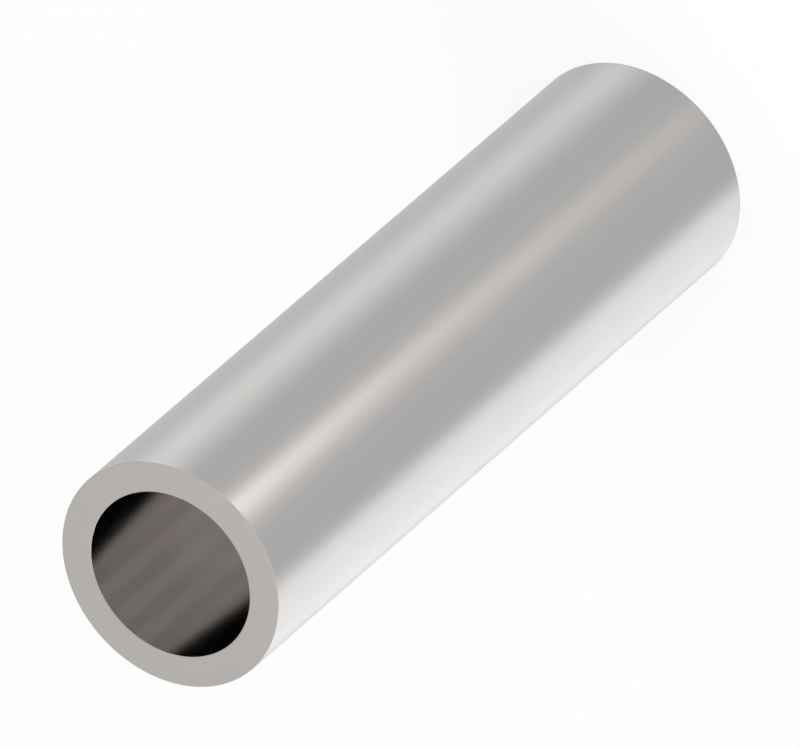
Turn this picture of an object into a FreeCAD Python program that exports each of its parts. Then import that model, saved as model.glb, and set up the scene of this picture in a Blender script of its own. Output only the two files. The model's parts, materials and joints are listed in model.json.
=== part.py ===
import FreeCAD, Part
import Sketcher
import math
import os

# A spacer sleeve: one piece of steel, turned outside, bored right through and faced square at both ends.
# A bolt or a shaft passes through the bore, and the two parts clamped against the end faces are held
# apart by the sleeve's length.
# Millimetres, +Z up. The sleeve stands on its lower end face: its axis is Z, and the origin is the
# middle of that face.

# Each driving dimension: its name, its value and what it measures.
SIZES = [
    ("sleeve_length", 56.0, "from the lower end face to the upper one"),
    ("bore_diameter", 11.0, "the hole that runs from end to end"),
    ("wall", 2.0, "from the bore to the turned outside"),
    ("outer_edge_break", 0.05, "45 degree break where each end face meets the outside"),
    ("bore_edge_break", 0.05, "45 degree break where each end face meets the bore"),
]

# The half-section's lines in the order they are drawn: up the bore, out across the upper end,
# down the outside and back in across the lower end.
BORE_WALL, UPPER_BORE_BREAK, UPPER_FACE, UPPER_OUTER_BREAK = range(4)
OUTSIDE, LOWER_OUTER_BREAK, LOWER_FACE, LOWER_BORE_BREAK = range(4, 8)
LINE_COUNT = 8

# How a constraint names a line's two ends, and the sketch's own origin and horizontal axis.
START, END = range(1, 3)
OTHER_END = {START: END, END: START}
ORIGIN = (-1, 1)
HORIZONTAL_AXIS = -1

# Each edge break in the half-section: its name, its line, the end of that line nearer the axis,
# its lower end, and the dimension that sets its size.
EDGE_BREAKS = [
    ("upper_bore_break", UPPER_BORE_BREAK, START, START, "bore_edge_break"),
    ("upper_outer_break", UPPER_OUTER_BREAK, START, END, "outer_edge_break"),
    ("lower_outer_break", LOWER_OUTER_BREAK, END, END, "outer_edge_break"),
    ("lower_bore_break", LOWER_BORE_BREAK, END, START, "bore_edge_break"),
]

FULL_TURN = 360.0

# The largest share by which the built volume may differ from the one worked out by hand.
VOLUME_TOLERANCE = 1e-6


def make_sizes(doc):
    """The table of driving dimensions, one row each: name, value and meaning."""
    sheet = doc.addObject("Spreadsheet::Sheet", "sizes")
    for row, (name, value, meaning) in enumerate(SIZES, start=1):
        sheet.set(f"A{row}", name)
        sheet.set(f"B{row}", str(value))
        sheet.set(f"C{row}", meaning)
        sheet.setAlias(f"B{row}", name)
    doc.recompute()
    return sheet


def section_corners(sizes):
    """The half-section's corners as (radius, height), one at the start of each line."""
    bore_radius = sizes.bore_diameter / 2
    outer_radius = bore_radius + sizes.wall
    return [
        (bore_radius, sizes.bore_edge_break),
        (bore_radius, sizes.sleeve_length - sizes.bore_edge_break),
        (bore_radius + sizes.bore_edge_break, sizes.sleeve_length),
        (outer_radius - sizes.outer_edge_break, sizes.sleeve_length),
        (outer_radius, sizes.sleeve_length - sizes.outer_edge_break),
        (outer_radius, sizes.outer_edge_break),
        (outer_radius - sizes.outer_edge_break, 0.0),
        (bore_radius + sizes.bore_edge_break, 0.0),
    ]


def draw_outline(sketch, corners):
    """The closed outline through the corners, each line tied to the next."""
    for line in range(LINE_COUNT):
        following = (line + 1) % LINE_COUNT
        start = FreeCAD.Vector(*corners[line], 0)
        end = FreeCAD.Vector(*corners[following], 0)
        sketch.addGeometry(Part.LineSegment(start, end), False)
    for line in range(LINE_COUNT):
        following = (line + 1) % LINE_COUNT
        sketch.addConstraint(Sketcher.Constraint("Coincident", line, END, following, START))


def set_distance(sketch, name, direction, first, second, value, expression):
    """A named distance between two points of the sketch, bound to the driving dimensions."""
    index = sketch.addConstraint(Sketcher.Constraint(direction, *first, *second, value))
    sketch.renameConstraint(index, name)
    sketch.setExpression(f"Constraints.{name}", expression)


def constrain_wall(sketch, sizes):
    """Holds the half-section square to the axis, at the bore's radius, the wall and the length."""
    for upright in (BORE_WALL, OUTSIDE):
        sketch.addConstraint(Sketcher.Constraint("Vertical", upright))
    for level in (UPPER_FACE, LOWER_FACE):
        sketch.addConstraint(Sketcher.Constraint("Horizontal", level))
    sketch.addConstraint(Sketcher.Constraint("PointOnObject", LOWER_FACE, START, HORIZONTAL_AXIS))

    bore_point = (BORE_WALL, START)
    outside_point = (OUTSIDE, START)
    lower_point = (LOWER_FACE, START)
    upper_point = (UPPER_FACE, START)
    set_distance(
        sketch, "bore_radius", "DistanceX", ORIGIN, bore_point,
        sizes.bore_diameter / 2, "sizes.bore_diameter / 2",
    )
    set_distance(
        sketch, "wall", "DistanceX", bore_point, outside_point,
        sizes.wall, "sizes.wall",
    )
    set_distance(
        sketch, "sleeve_length", "DistanceY", lower_point, upper_point,
        sizes.sleeve_length, "sizes.sleeve_length",
    )


def constrain_edge_breaks(sketch, sizes):
    """Makes each break the same size across the end face as along the wall, so 45 degrees."""
    for name, line, near_axis, lower, size_name in EDGE_BREAKS:
        value = getattr(sizes, size_name)
        expression = f"sizes.{size_name}"
        inner_point = (line, near_axis)
        outer_point = (line, OTHER_END[near_axis])
        lower_point = (line, lower)
        upper_point = (line, OTHER_END[lower])
        set_distance(sketch, f"{name}_across", "DistanceX", inner_point, outer_point, value, expression)
        set_distance(sketch, f"{name}_along", "DistanceY", lower_point, upper_point, value, expression)


def origin_plane(body, role):
    """One of the body's own origin planes, found by its role."""
    return next(plane for plane in body.Origin.OriginFeatures if plane.Role == role)


def make_sleeve(doc, sizes):
    """The sleeve: the wall's half-section, turned once round the axis."""
    body = doc.addObject("PartDesign::Body", "sleeve")
    body.Label = "sleeve"
    body.Placement = FreeCAD.Placement()

    section = body.newObject("Sketcher::SketchObject", "half_section")
    section.AttachmentSupport = (origin_plane(body, "XZ_Plane"), [""])
    section.MapMode = "FlatFace"
    draw_outline(section, section_corners(sizes))
    constrain_wall(section, sizes)
    constrain_edge_breaks(section, sizes)

    turned = body.newObject("PartDesign::Revolution", "turned_wall")
    turned.Profile = (section, [""])
    turned.ReferenceAxis = (section, ["V_Axis"])
    turned.Angle = FULL_TURN
    body.Tip = turned
    return body


def worked_volume(sizes):
    """The sleeve's volume by hand: a plain tube, less the ring that each edge break takes off."""
    bore_radius = sizes.bore_diameter / 2
    outer_radius = bore_radius + sizes.wall
    tube = math.pi * (outer_radius**2 - bore_radius**2) * sizes.sleeve_length
    outer_ring = math.pi * sizes.outer_edge_break**2 * (outer_radius - sizes.outer_edge_break / 3)
    bore_ring = math.pi * sizes.bore_edge_break**2 * (bore_radius + sizes.bore_edge_break / 3)
    return tube - 2 * outer_ring - 2 * bore_ring


def check_objects(doc):
    """Stops at any object that failed to rebuild, and at a half-section that can still move."""
    for item in doc.Objects:
        if "Invalid" in item.State or "Error" in item.State:
            raise RuntimeError(f"{item.Name} is {item.State}")
    if not doc.half_section.FullyConstrained:
        raise RuntimeError("the half-section is not fully constrained")


def check_sleeve(body, sizes):
    """Stops unless the sleeve is one sound solid of the volume worked out by hand."""
    shape = body.Shape
    if shape.isNull() or not shape.isValid() or len(shape.Solids) != 1:
        raise RuntimeError(f"{body.Label} is not one sound solid")
    expected = worked_volume(sizes)
    if abs(shape.Volume - expected) > VOLUME_TOLERANCE * expected:
        raise RuntimeError(f"{body.Label} holds {shape.Volume:.3f} mm3, not {expected:.3f}")
    box = shape.BoundBox
    print(f"{body.Label}: {box.XLength:.3f} x {box.YLength:.3f} x {box.ZLength:.3f} mm")
    print(f"{body.Label}: stands from z = {box.ZMin:.3f} to {box.ZMax:.3f} mm")
    print(f"{body.Label}: volume {shape.Volume:.3f} mm3, worked out {expected:.3f} mm3")


def main():
    doc = FreeCAD.newDocument("spacer_sleeve")
    sizes = make_sizes(doc)
    sleeve = make_sleeve(doc, sizes)
    doc.recompute()

    check_objects(doc)
    check_sleeve(sleeve, sizes)

    os.makedirs("parts", exist_ok=True)
    sleeve.Shape.exportStep(f"parts/{sleeve.Label}.step")
    print(f"wrote parts/{sleeve.Label}.step")


main()
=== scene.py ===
# %% [markdown]
# # A turned spacer sleeve
#
# This lesson dresses one small steel part: a spacer sleeve, the plain tube that slips over a bolt and
# keeps two clamped parts a fixed distance apart. It is a single piece, so nearly all of its look comes
# from three things: clean round geometry, the marks that a lathe leaves, and the lights that those marks
# catch.
#
# Everything is in metres, in the frame of the measured model: the sleeve stands on its lower end, +Z
# runs up its axis, and the origin is the middle of the lower end face.

# %% Open the measured frame
import json
import math

import bpy
import numpy as np
from mathutils import Matrix, Quaternion, Vector


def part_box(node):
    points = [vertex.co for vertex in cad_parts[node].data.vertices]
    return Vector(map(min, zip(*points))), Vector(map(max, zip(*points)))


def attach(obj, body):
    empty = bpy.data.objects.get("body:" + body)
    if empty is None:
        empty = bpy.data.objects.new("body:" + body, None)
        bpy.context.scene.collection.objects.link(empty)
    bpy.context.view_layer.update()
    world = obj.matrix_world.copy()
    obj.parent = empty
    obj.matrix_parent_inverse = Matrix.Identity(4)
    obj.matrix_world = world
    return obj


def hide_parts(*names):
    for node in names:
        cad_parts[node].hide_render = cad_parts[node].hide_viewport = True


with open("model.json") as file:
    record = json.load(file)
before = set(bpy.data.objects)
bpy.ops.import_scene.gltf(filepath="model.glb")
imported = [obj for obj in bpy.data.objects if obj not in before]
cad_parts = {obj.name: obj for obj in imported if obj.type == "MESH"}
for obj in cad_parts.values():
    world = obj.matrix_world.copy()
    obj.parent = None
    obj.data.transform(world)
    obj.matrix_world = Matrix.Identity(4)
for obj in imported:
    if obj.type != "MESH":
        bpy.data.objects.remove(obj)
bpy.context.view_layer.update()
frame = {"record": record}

# %% [markdown]
# ## The sizes that everything else uses
#
# A sleeve has four sizes: its bore, its outside, its length, and the tiny break that takes the burr off
# each edge. They could be typed in again here, but then a change to the measured model would leave the
# picture behind. So the radii come from the record's mounts and the length from the node's own box. The
# straight part of the bore is shorter than the sleeve by one break at each end, which gives the break.

# %% Read the sizes
MM = 0.001
mounts = {mount["name"]: mount["dims"] for mount in frame["record"]["mounts"]}
bore_radius = mounts["bore"]["r_mm"] * MM
outer_radius = mounts["outside"]["r_mm"] * MM
sleeve_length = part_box("sleeve")[1].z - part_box("sleeve")[0].z
edge_break = (sleeve_length - mounts["bore"]["length_mm"] * MM) / 2
for label, size in (("bore", 2 * bore_radius), ("outside", 2 * outer_radius),
                    ("length", sleeve_length), ("edge break", edge_break)):
    print(f"{label}: {size / MM:.3f} mm")

# %% [markdown]
# ## The section of the wall
#
# Cut the sleeve along its axis and the wall shows as a long thin rectangle with its four corners just
# taken off. A cylinder with a hole cut through it would give the same solid, but a cut leaves ragged
# faces round the hole. Here the wall's outline is worked out once, as a closed path of (radius, height)
# points, and turned round the axis afterwards, which is also how a lathe makes the part.
#
# Each corner is a quarter circle. Extra points just beside it, called holding points, stop the smooth
# shading of the corner from leaking across the flat faces.

# %% Section helper
def wall_section(inner, outer, height, round_radius, round_steps, holds, stations):
    """Closed outline of the wall, anticlockwise, as rows of (radius, height).

    Corner k is an arc of a quarter turn that starts at the angle (k - 1) * 90 degrees:
    point = centre + round_radius * (cos angle, sin angle), with its centre set in by the round's radius.
    The straight runs between the arcs get the distances in holds, measured from both of their ends, and
    the long runs get that many evenly spaced stations as well.
    """
    near, far = inner + round_radius, outer - round_radius
    low, high = round_radius, height - round_radius
    centres = np.array([[far, low], [far, high], [near, high], [near, low]])
    first_angle = np.arange(4)[:, None] * math.pi / 2 - math.pi / 2
    angle = first_angle + np.linspace(0, math.pi / 2, round_steps + 1)
    arcs = centres[:, None, :] + round_radius * np.stack([np.cos(angle), np.sin(angle)], axis=-1)
    long_run = 4 * holds.max()
    path = []
    for corner, arc in enumerate(arcs):
        start, end = arc[-1], arcs[(corner + 1) % 4][0]
        run = np.linalg.norm(end - start)
        along = [holds, run - holds]
        if run > long_run:
            along.append(np.linspace(0, run, stations + 2)[1:-1])
        share = np.unique(np.concatenate(along)) / run
        path += [arc, start + share[:, None] * (end - start)]
    return np.concatenate(path)


section = wall_section(
    bore_radius, outer_radius, sleeve_length, edge_break,
    round_steps=6, holds=np.array([0.03, 0.12, 0.4]) * MM, stations=24,
)
print("points round the wall's section:", len(section))

# %% [markdown]
# ## Turning the section into a surface
#
# Spinning an outline is a job that Blender's Screw modifier can do. Working the grid out directly is as
# short, and it also gives each face its place in the unrolled pattern, which the finish needs: the first
# coordinate runs along the section, across the tool marks, and the second runs round the axis, along
# them.

# %% Surface of revolution
def turned_surface(name, outline, columns):
    """A closed outline turned once round Z.

    The point (r, z) of the outline at the angle a goes to (r cos a, r sin a, z). The grid has one row for
    each point of the outline and one column for each angle, and it closes on itself both ways. The pattern
    coordinates are (length along the outline, turn * longest girth), both as shares of the outline's length.
    """
    rows = len(outline)
    angle = np.arange(columns) * 2 * math.pi / columns
    radius, height = outline[:, :1], outline[:, 1:]
    points = np.stack(
        [radius * np.cos(angle), radius * np.sin(angle), height * np.ones(columns)], axis=-1
    ).reshape(-1, 3)

    row, column = np.meshgrid(np.arange(rows), np.arange(columns), indexing="ij")
    next_row, next_column = (row + 1) % rows, (column + 1) % columns
    quads = np.stack(
        [
            row * columns + column,
            row * columns + next_column,
            next_row * columns + next_column,
            next_row * columns + column,
        ],
        axis=-1,
    ).reshape(-1, 4)

    steps = np.linalg.norm(np.roll(outline, -1, axis=0) - outline, axis=1)
    reached = np.concatenate([[0.0], np.cumsum(steps)])
    girth = 2 * math.pi * outline[:, 0].max()
    along = reached / reached[-1]
    around = np.arange(columns + 1) / columns * girth / reached[-1]
    corner_along = np.stack([along[row], along[row], along[row + 1], along[row + 1]], axis=-1)
    corner_around = np.stack(
        [around[column], around[column + 1], around[column + 1], around[column]], axis=-1
    )

    mesh = bpy.data.meshes.new(name)
    mesh.from_pydata(points.tolist(), [], quads.tolist())
    pattern = mesh.uv_layers.new(name="unrolled")
    pattern.data.foreach_set("uv", np.stack([corner_along, corner_around], axis=-1).ravel())
    mesh.shade_smooth()
    mesh.update()
    piece = bpy.data.objects.new(name, mesh)
    bpy.context.scene.collection.objects.link(piece)
    return piece


COLUMNS = 288
sleeve = turned_surface("turned_sleeve", section, COLUMNS)
print("faces on the sleeve:", len(sleeve.data.polygons))

# %% [markdown]
# ## Small tools for building materials
#
# A material is a small network of nodes. It can be drawn by hand in the editor, but in a script the same
# three or four moves come back all the time: add a node, join two sockets, do a sum, rescale a value. A
# helper for each keeps the finishes below short enough to read.

# %% Shader helpers
def add_node(tree, kind, **settings):
    """A new node of that kind, with each named property set."""
    node = tree.nodes.new(kind)
    for key, value in settings.items():
        setattr(node, key, value)
    return node


def plug(tree, source, target):
    """Joins an output socket to an input socket."""
    tree.links.new(source, target)


def math_node(tree, operation, *terms):
    """A Math node's output. Each term is a number or a socket."""
    node = add_node(tree, "ShaderNodeMath", operation=operation)
    for index, term in enumerate(terms):
        if isinstance(term, (int, float)):
            node.inputs[index].default_value = term
        else:
            plug(tree, term, node.inputs[index])
    return node.outputs[0]


def between(tree, value, low, high):
    """A value from 0 to 1 carried to the range from low to high."""
    node = add_node(tree, "ShaderNodeMapRange")
    node.inputs["To Min"].default_value = low
    node.inputs["To Max"].default_value = high
    plug(tree, value, node.inputs["Value"])
    return node.outputs["Result"]


def blend_of(tree, first, second, share):
    """The mean of two values, with that share for the first and the rest for the second."""
    return math_node(tree, "ADD", math_node(tree, "MULTIPLY", first, share),
                     math_node(tree, "MULTIPLY", second, 1 - share))


# %% [markdown]
# ## What the tools left behind
#
# A turned surface is covered in fine grooves that all run round the axis. They are far too small to
# model, so they are drawn in the material. The tool moves along the wall on the outside and in the
# bore, and across the wall on the ends. Distance from the axis and height, used together, give lines on
# the cylinders and rings on the ends with one formula.
#
# The bore has marks of its own. A reamer that is pulled back out drags its cutting edges along the
# hole, and they leave faint straight lines. Chips gather on the way out, so the lines are strongest at
# the upper mouth and fade with depth.
#
# Both are worked out in the sleeve's own space, so they stay on the steel from every side.

# %% Marks
def lathe_coordinates(tree):
    """Sockets for the distance from the axis, the height, and the direction from the axis as (x, y)."""
    place = add_node(tree, "ShaderNodeTexCoord")
    split = add_node(tree, "ShaderNodeSeparateXYZ")
    plug(tree, place.outputs["Object"], split.inputs[0])
    x, y, z = split.outputs
    squares = math_node(tree, "ADD", math_node(tree, "MULTIPLY", x, x), math_node(tree, "MULTIPLY", y, y))
    radius = math_node(tree, "SQRT", squares)
    return radius, z, math_node(tree, "DIVIDE", x, radius), math_node(tree, "DIVIDE", y, radius)


def noise_value(tree, where, fourth, detail):
    """A four-dimensional noise from 0 to 1, read at a vector socket and a fourth coordinate."""
    noise = add_node(tree, "ShaderNodeTexNoise", noise_dimensions="4D")
    noise.inputs["Scale"].default_value = 1.0
    noise.inputs["Detail"].default_value = detail
    plug(tree, where, noise.inputs["Vector"])
    plug(tree, fourth, noise.inputs["W"])
    return noise.outputs["Fac"]


def tool_marks(tree, pitch, drift):
    """Fine marks that run round the axis, as a value from 0 to 1.

    The noise is read at (radius / pitch, height / pitch, drift * x, drift * y), with (x, y) the direction
    from the axis. It changes once a pitch across the marks, and only a few times on the way round, where
    it meets itself again.
    """
    radius, height, x, y = lathe_coordinates(tree)
    where = add_node(tree, "ShaderNodeCombineXYZ")
    plug(tree, math_node(tree, "DIVIDE", radius, pitch), where.inputs[0])
    plug(tree, math_node(tree, "DIVIDE", height, pitch), where.inputs[1])
    plug(tree, math_node(tree, "MULTIPLY", x, drift), where.inputs[2])
    return noise_value(tree, where.outputs[0], math_node(tree, "MULTIPLY", y, drift), detail=4)


LINES_SHARE = 0.85


def drag_lines(tree, count, fineness, reach):
    """Lines along the bore that fade with depth, as a value from 0 to 1, where 1 is clean steel.

    LINES_SHARE of it is 1 - strength * (1 - cos(count * angle)) / 2, with a strength that falls smoothly
    from 1 at the upper mouth to 0 at the depth reach. The rest is a noise read at (fineness * x,
    fineness * y, height / reach), which makes the lines uneven.
    """
    _, height, x, y = lathe_coordinates(tree)
    angle = math_node(tree, "ARCTAN2", x, y)
    wave = math_node(tree, "COSINE", math_node(tree, "MULTIPLY", angle, count))
    valleys = math_node(tree, "MULTIPLY_ADD", wave, -0.5, 0.5)
    strength = add_node(tree, "ShaderNodeMapRange", interpolation_type="SMOOTHSTEP")
    strength.inputs["From Min"].default_value = sleeve_length - reach
    strength.inputs["From Max"].default_value = sleeve_length
    plug(tree, height, strength.inputs["Value"])
    shaded = math_node(tree, "MULTIPLY", valleys, strength.outputs["Result"])
    lines = math_node(tree, "SUBTRACT", 1.0, shaded)
    where = add_node(tree, "ShaderNodeCombineXYZ")
    plug(tree, math_node(tree, "MULTIPLY", x, fineness), where.inputs[0])
    plug(tree, math_node(tree, "MULTIPLY", y, fineness), where.inputs[1])
    uneven = noise_value(tree, where.outputs[0], math_node(tree, "DIVIDE", height, reach), detail=2)
    return blend_of(tree, lines, uneven, LINES_SHARE)


def cloud(tree, size, detail):
    """Soft patches of about that size, as a value from 0 to 1: a plain noise in the piece's own space."""
    place = add_node(tree, "ShaderNodeTexCoord")
    noise = add_node(tree, "ShaderNodeTexNoise")
    noise.inputs["Scale"].default_value = 1 / size
    noise.inputs["Detail"].default_value = detail
    plug(tree, place.outputs["Object"], noise.inputs["Vector"])
    return noise.outputs["Fac"]


# %% [markdown]
# ## Steel
#
# Bare steel has no look of its own apart from its reflections, so a warm grey serves the outside, the
# ends and the edges, and the finishes differ in how they reflect. The bore's steel is painted far
# lighter: painted light that stands in for the light its many reflections lose. The grooves of the
# outside are too small to see one by one, but together they smear every reflection across themselves,
# so a lamp shows on the wall as a bright band along the sleeve's length. In the shader this is
# anisotropy, with its tangent along the first pattern coordinate. A little bump from the same marks
# lets the coarsest grooves show close up.
# The reamer polishes the grooves of the bore away and leaves lines along it, so in there the smear is a
# small one and turned a quarter, to go round the bore. The faced ends are matt and scatter the light
# evenly, so a lamp behind the sleeve doesn't wash them out.
#
# The marks also darken and lighten the steel by a few hundredths, and in the bore by about a fifth,
# because the bottoms of the grooves see less light. A soft cloud stands for handling and a trace of oil.

# %% Steel finishes
MARKS_DRIFT = 1.3
CLOUD_SIZE = 6 * MM
MARKS_SHARE = 0.8


def steel(name, dark, light, roughness, spread, anisotropy, groove_pitch, groove_depth,
          turn=0, streaks=None):
    """A bare steel finish.

    The colour goes from dark to light by MARKS_SHARE of the marks and the rest of a soft cloud, and spread
    is how far the cloud carries the roughness either side of its middle value. turn is the share of a full
    turn by which the smear is turned from the section's direction. streaks, if given, makes the pattern
    that takes the grooves' place in the colour.
    """
    material = bpy.data.materials.new(name)
    material.use_nodes = True
    tree = material.node_tree
    shader = tree.nodes["Principled BSDF"]
    shader.inputs["Metallic"].default_value = 1.0
    shader.inputs["Anisotropic"].default_value = anisotropy
    shader.inputs["Anisotropic Rotation"].default_value = turn

    grooves = tool_marks(tree, groove_pitch, MARKS_DRIFT)
    patches = cloud(tree, CLOUD_SIZE, detail=2)
    marks = streaks(tree) if streaks else grooves
    tint = add_node(tree, "ShaderNodeMix", data_type="RGBA", blend_type="MIX")
    tint.inputs["A"].default_value = (*dark, 1)
    tint.inputs["B"].default_value = (*light, 1)
    plug(tree, blend_of(tree, marks, patches, MARKS_SHARE), tint.inputs["Factor"])
    plug(tree, tint.outputs["Result"], shader.inputs["Base Color"])
    plug(tree, between(tree, patches, roughness - spread, roughness + spread), shader.inputs["Roughness"])

    bump = add_node(tree, "ShaderNodeBump")
    bump.inputs["Distance"].default_value = groove_depth
    bump.inputs["Strength"].default_value = 1.0
    plug(tree, grooves, bump.inputs["Height"])
    plug(tree, bump.outputs["Normal"], shader.inputs["Normal"])
    if anisotropy:
        tangent = add_node(tree, "ShaderNodeTangent", direction_type="UV_MAP", uv_map="unrolled")
        plug(tree, tangent.outputs["Tangent"], shader.inputs["Tangent"])
    return material


def reamer_lines(tree):
    """The drag lines of the reamer that finished the bore."""
    return drag_lines(tree, count=19, fineness=5, reach=24 * MM)


turned_finish = steel(
    "turned_outside", dark=(0.465, 0.453, 0.444), light=(0.503, 0.491, 0.481), roughness=0.42,
    spread=0.02, anisotropy=1.0, groove_pitch=0.07 * MM, groove_depth=0.0004 * MM,
)
faced_finish = steel(
    "faced_end", dark=(0.449, 0.429, 0.414), light=(0.486, 0.464, 0.448), roughness=0.70,
    spread=0.03, anisotropy=0.0, groove_pitch=0.06 * MM, groove_depth=0.0004 * MM,
)
# Painted light: the bore's steel is far lighter than the outside's, so the deep bore stays light.
bore_finish_painted_light = steel(
    "reamed_bore_painted_light", dark=(0.760, 0.760, 0.755), light=(0.975, 0.943, 0.929), roughness=0.08,
    spread=0.01, anisotropy=1.0, groove_pitch=0.10 * MM, groove_depth=0.00001 * MM, turn=0.25,
    streaks=reamer_lines,
)
stoned_finish = steel(
    "stoned_edge", dark=(0.384, 0.370, 0.356), light=(0.416, 0.400, 0.386), roughness=0.65,
    spread=0.05, anisotropy=0.0, groove_pitch=0.06 * MM, groove_depth=0.0008 * MM,
)
finishes = (turned_finish, faced_finish, bore_finish_painted_light, stoned_finish)
print("finishes:", [material.name for material in finishes])

# %% [markdown]
# ## Each face gets the finish of the tool that cut it
#
# The outside was turned, the ends were faced, the bore was reamed and the edges were broken with a
# stone, so the one mesh has four finishes. Which one a face gets follows from where its middle lies in
# the section.

# %% Finish by face
OUTSIDE, END, BORE, EDGE = range(4)
for material in finishes:
    sleeve.data.materials.append(material)
middle = (section + np.roll(section, -1, axis=0)) / 2
radius, height = middle.T
beside_wall = (radius > outer_radius - edge_break) | (radius < bore_radius + edge_break)
beside_end = (height < edge_break) | (height > sleeve_length - edge_break)
finish = np.full(len(section), END)
finish[beside_wall & (radius > bore_radius + edge_break)] = OUTSIDE
finish[beside_wall & (radius < outer_radius - edge_break)] = BORE
finish[beside_wall & beside_end] = EDGE
sleeve.data.polygons.foreach_set("material_index", np.repeat(finish, COLUMNS).astype(np.int32))
sleeve.data.update()

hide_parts("sleeve")
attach(sleeve, "root")
for label, kind in (("turned", OUTSIDE), ("faced", END), ("reamed", BORE), ("stoned", EDGE)):
    print(f"rows {label}:", int((finish == kind).sum()))

# %% [markdown]
# ## A pale floor
#
# The sleeve stands on a plain pale table. Its own shading would give a grey background, so to the
# camera, and in reflections, most of the floor's light is a steady white, and the rest is its true
# shading. That keeps the soft shadow round the sleeve.
#
# The small disc of table at the bottom of the bore is another matter. Hardly any light comes down to
# it, so a steady white there would glow like a lamp and light up the whole bore. Under the sleeve the
# steady white falls to a fixed low level instead: a painted shadow, which also sets how dark the bore
# looks.

# %% Floor
FLOOR_SIZE = 6.0
FLOOR_WHITE = (0.86, 0.86, 0.86, 1)
FLOOR_STEADY = 0.8
FLOOR_PAINTED_SHADE_IN_BORE = 0.29

floor_mesh = bpy.data.meshes.new("floor")
corners = np.array([[-1, -1, 0], [1, -1, 0], [1, 1, 0], [-1, 1, 0]]) * FLOOR_SIZE / 2
floor_mesh.from_pydata(corners.tolist(), [], [(0, 1, 2, 3)])
floor = bpy.data.objects.new("floor", floor_mesh)
bpy.context.scene.collection.objects.link(floor)


def seen_directly(tree):
    """1 for the rays that show a background: those of the camera, of reflections and through glass."""
    path = add_node(tree, "ShaderNodeLightPath")
    rays = [path.outputs[f"Is {kind} Ray"] for kind in ("Camera", "Glossy", "Transmission")]
    return math_node(tree, "MAXIMUM", math_node(tree, "MAXIMUM", rays[0], rays[1]), rays[2])


def pale_floor():
    """Matt white mixed with a steady white where it is a background; a painted shadow under the sleeve."""
    material = bpy.data.materials.new("pale_floor")
    material.use_nodes = True
    tree = material.node_tree
    output = tree.nodes["Material Output"]
    matt = tree.nodes["Principled BSDF"]
    matt.inputs["Base Color"].default_value = FLOOR_WHITE
    matt.inputs["Roughness"].default_value = 1.0
    matt.inputs["Specular IOR Level"].default_value = 0.0
    steady = add_node(tree, "ShaderNodeEmission")
    radius = lathe_coordinates(tree)[0]
    beyond_painted_shadow = math_node(tree, "GREATER_THAN", radius, outer_radius)
    # Painted shadow: under the sleeve the steady white drops to a fixed low level.
    plug(tree, between(tree, beyond_painted_shadow, FLOOR_PAINTED_SHADE_IN_BORE, 1.0), steady.inputs["Strength"])
    mix = add_node(tree, "ShaderNodeMixShader")
    plug(tree, math_node(tree, "MULTIPLY", seen_directly(tree), FLOOR_STEADY), mix.inputs[0])
    plug(tree, matt.outputs[0], mix.inputs[1])
    plug(tree, steady.outputs[0], mix.inputs[2])
    plug(tree, mix.outputs[0], output.inputs["Surface"])
    return material


floor_mesh.materials.append(pale_floor())
print("floor:", FLOOR_SIZE, "m square")

# %% [markdown]
# ## Soft light
#
# Metal shows what stands round it, so the lights are drawn for their reflections. A softbox is brightest
# in its middle and fades to the edges of its cloth, which gives the soft-edged bands of a studio
# picture. A lamp's energy follows from how bright its face should look: radiance times area times pi.
#
# A narrow lamp close to the front makes the band that is strong near the upper end and fades down the
# sleeve, and because the lamp leans, the band drifts sideways on its way. The wide lamps stand further
# off, low down, so that their bands keep an even strength.

# %% Softboxes
scene = bpy.context.scene
target = Vector((0, 0, sleeve_length / 2))


def softbox(name, bearing, elevation, distance, width, height, radiance, fade, roll=0, tint=(1, 1, 1)):
    """A rectangular lamp that faces the sleeve's middle.

    bearing is measured round Z from the camera's side, -Y, towards +X, and elevation above the horizon,
    both in degrees. radiance is how bright the middle of the lamp's face is, where 1 is white. The face
    dims smoothly to nothing at its left and right edges, over the share fade of its half width. roll
    leans the lamp's upper edge sideways, in degrees, towards smaller bearings.
    """
    turn, lift = math.radians(bearing), math.radians(elevation)
    away = Vector((math.sin(turn) * math.cos(lift), -math.cos(turn) * math.cos(lift), math.sin(lift)))
    lamp = bpy.data.lights.new(name, "AREA")
    lamp.shape = "RECTANGLE"
    lamp.size, lamp.size_y = width, height
    lamp.energy = radiance * width * height * math.pi
    lamp.color = tint

    lamp.use_nodes = True
    tree = lamp.node_tree
    face = add_node(tree, "ShaderNodeSeparateXYZ")
    plug(tree, add_node(tree, "ShaderNodeNewGeometry").outputs["Parametric"], face.inputs[0])
    dimming = add_node(tree, "ShaderNodeMapRange", interpolation_type="SMOOTHSTEP")
    dimming.inputs["From Max"].default_value = fade / 2
    plug(tree, math_node(tree, "PINGPONG", face.outputs[0], 0.5), dimming.inputs["Value"])
    plug(tree, dimming.outputs["Result"], tree.nodes["Emission"].inputs["Strength"])

    stand = bpy.data.objects.new(name, lamp)
    stand.location = target + distance * away
    facing = (-away).to_track_quat("-Z", "Y") @ Quaternion((0, 0, 1), math.radians(roll))
    stand.rotation_euler = facing.to_euler()
    stand.visible_camera = False
    scene.collection.objects.link(stand)
    return stand


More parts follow.
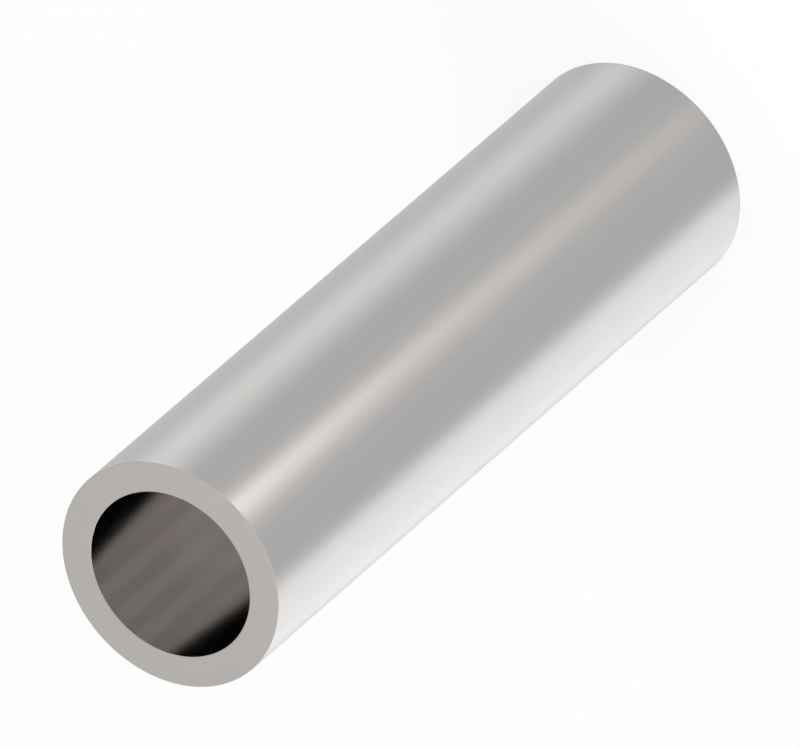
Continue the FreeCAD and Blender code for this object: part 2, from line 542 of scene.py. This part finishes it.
COOL, WARM = (0.97, 0.985, 1.0), (1.0, 0.945, 0.915)
softbox("left_strip", bearing=77, elevation=25, distance=0.3, width=0.28, height=0.14,
        radiance=3.1, fade=1.0)
softbox("left_bank", bearing=95, elevation=14, distance=0.6, width=1.6, height=0.26,
        radiance=0.45, fade=0.5)
softbox("front_lamp", bearing=4, elevation=47, distance=0.0645, width=0.018, height=0.04,
        radiance=7.15, fade=1.0, roll=18, tint=WARM)
softbox("front_bank", bearing=-2, elevation=14, distance=0.6, width=1.4, height=0.26,
        radiance=0.2, fade=0.5)
softbox("right_bank", bearing=-94, elevation=14, distance=0.6, width=0.90, height=0.26,
        radiance=5.0, fade=0.42, tint=COOL)

# %% [markdown]
# ## The room
#
# Whatever isn't a lamp is a plain white room. The camera and reflections see it at full white, and as
# a source of light on the matt floor it is a little lower.
#
# A look into the bore meets the wall again and again on its way down, once for each bore width or so.
# The renderer stops following reflections after four, which would leave the bore black, so the count
# is raised. It goes up by one only: a look that enters near the bore's side needs more, and those two
# sides stay dark, as they are in a deep hole.

# %% World
ROOM_FILL = 0.79
BORE_REFLECTIONS = 5
world = bpy.data.worlds.new("studio")
scene.world = world
world.use_nodes = True
background = world.node_tree.nodes["Background"]
background.inputs["Color"].default_value = (1, 1, 1, 1)
plug(world.node_tree, between(world.node_tree, seen_directly(world.node_tree), ROOM_FILL, 1.0),
     background.inputs["Strength"])
scene.cycles.glossy_bounces = BORE_REFLECTIONS
print("reflections followed:", BORE_REFLECTIONS)

# %% [markdown]
# ## The camera
#
# The picture is a drawing-like view with no perspective, tilted so that the sleeve's axis climbs to the
# right. A very long lens from far away comes within two pixels of that, and unlike a parallel camera it
# can also look at the whole sleeve from the side.
#
# Four values place it: the angle between the sleeve's axis and the line of sight, the slope at which the
# axis climbs in the picture, the pixel that shows the sleeve's middle, and the distance to that middle.

# %% Camera
PICTURE = Vector((800, 748))
LENS = 1400.0
SENSOR = 36.0
AXIS_LEAN = math.radians(41.405)
AXIS_SLOPE = math.radians(40.893)
MIDDLE_PIXEL = Vector((404.09, 371.96))
MIDDLE_DEPTH = 1.8818

back = Vector((0, -math.sin(AXIS_LEAN), math.cos(AXIS_LEAN)))
down = Vector((0, 0, -1))
along = (down - down.dot(back) * back).normalized()
across = back.cross(along)
right = math.cos(AXIS_SLOPE) * along - math.sin(AXIS_SLOPE) * across
up = math.sin(AXIS_SLOPE) * along + math.cos(AXIS_SLOPE) * across
metres_per_pixel = MIDDLE_DEPTH * SENSOR / LENS / PICTURE.x
offset = (MIDDLE_PIXEL - PICTURE / 2) * metres_per_pixel

lens = bpy.data.cameras.new("long_lens")
lens.lens = LENS
lens.sensor_width = SENSOR
lens.clip_start, lens.clip_end = 0.5, 5.0
camera = bpy.data.objects.new("long_lens", lens)
place = target + MIDDLE_DEPTH * back - offset.x * right + offset.y * up
camera.matrix_world = Matrix.Translation(place) @ Matrix((right, up, back)).transposed().to_4x4()
scene.collection.objects.link(camera)
scene.camera = camera
print("camera at, m:", [round(value, 3) for value in place])

# %% [markdown]
# ## Hand over
#
# The Standard view transform shows a colour as it is written, with no film look on top.

# %% Colour handling
scene.view_settings.view_transform = "Standard"
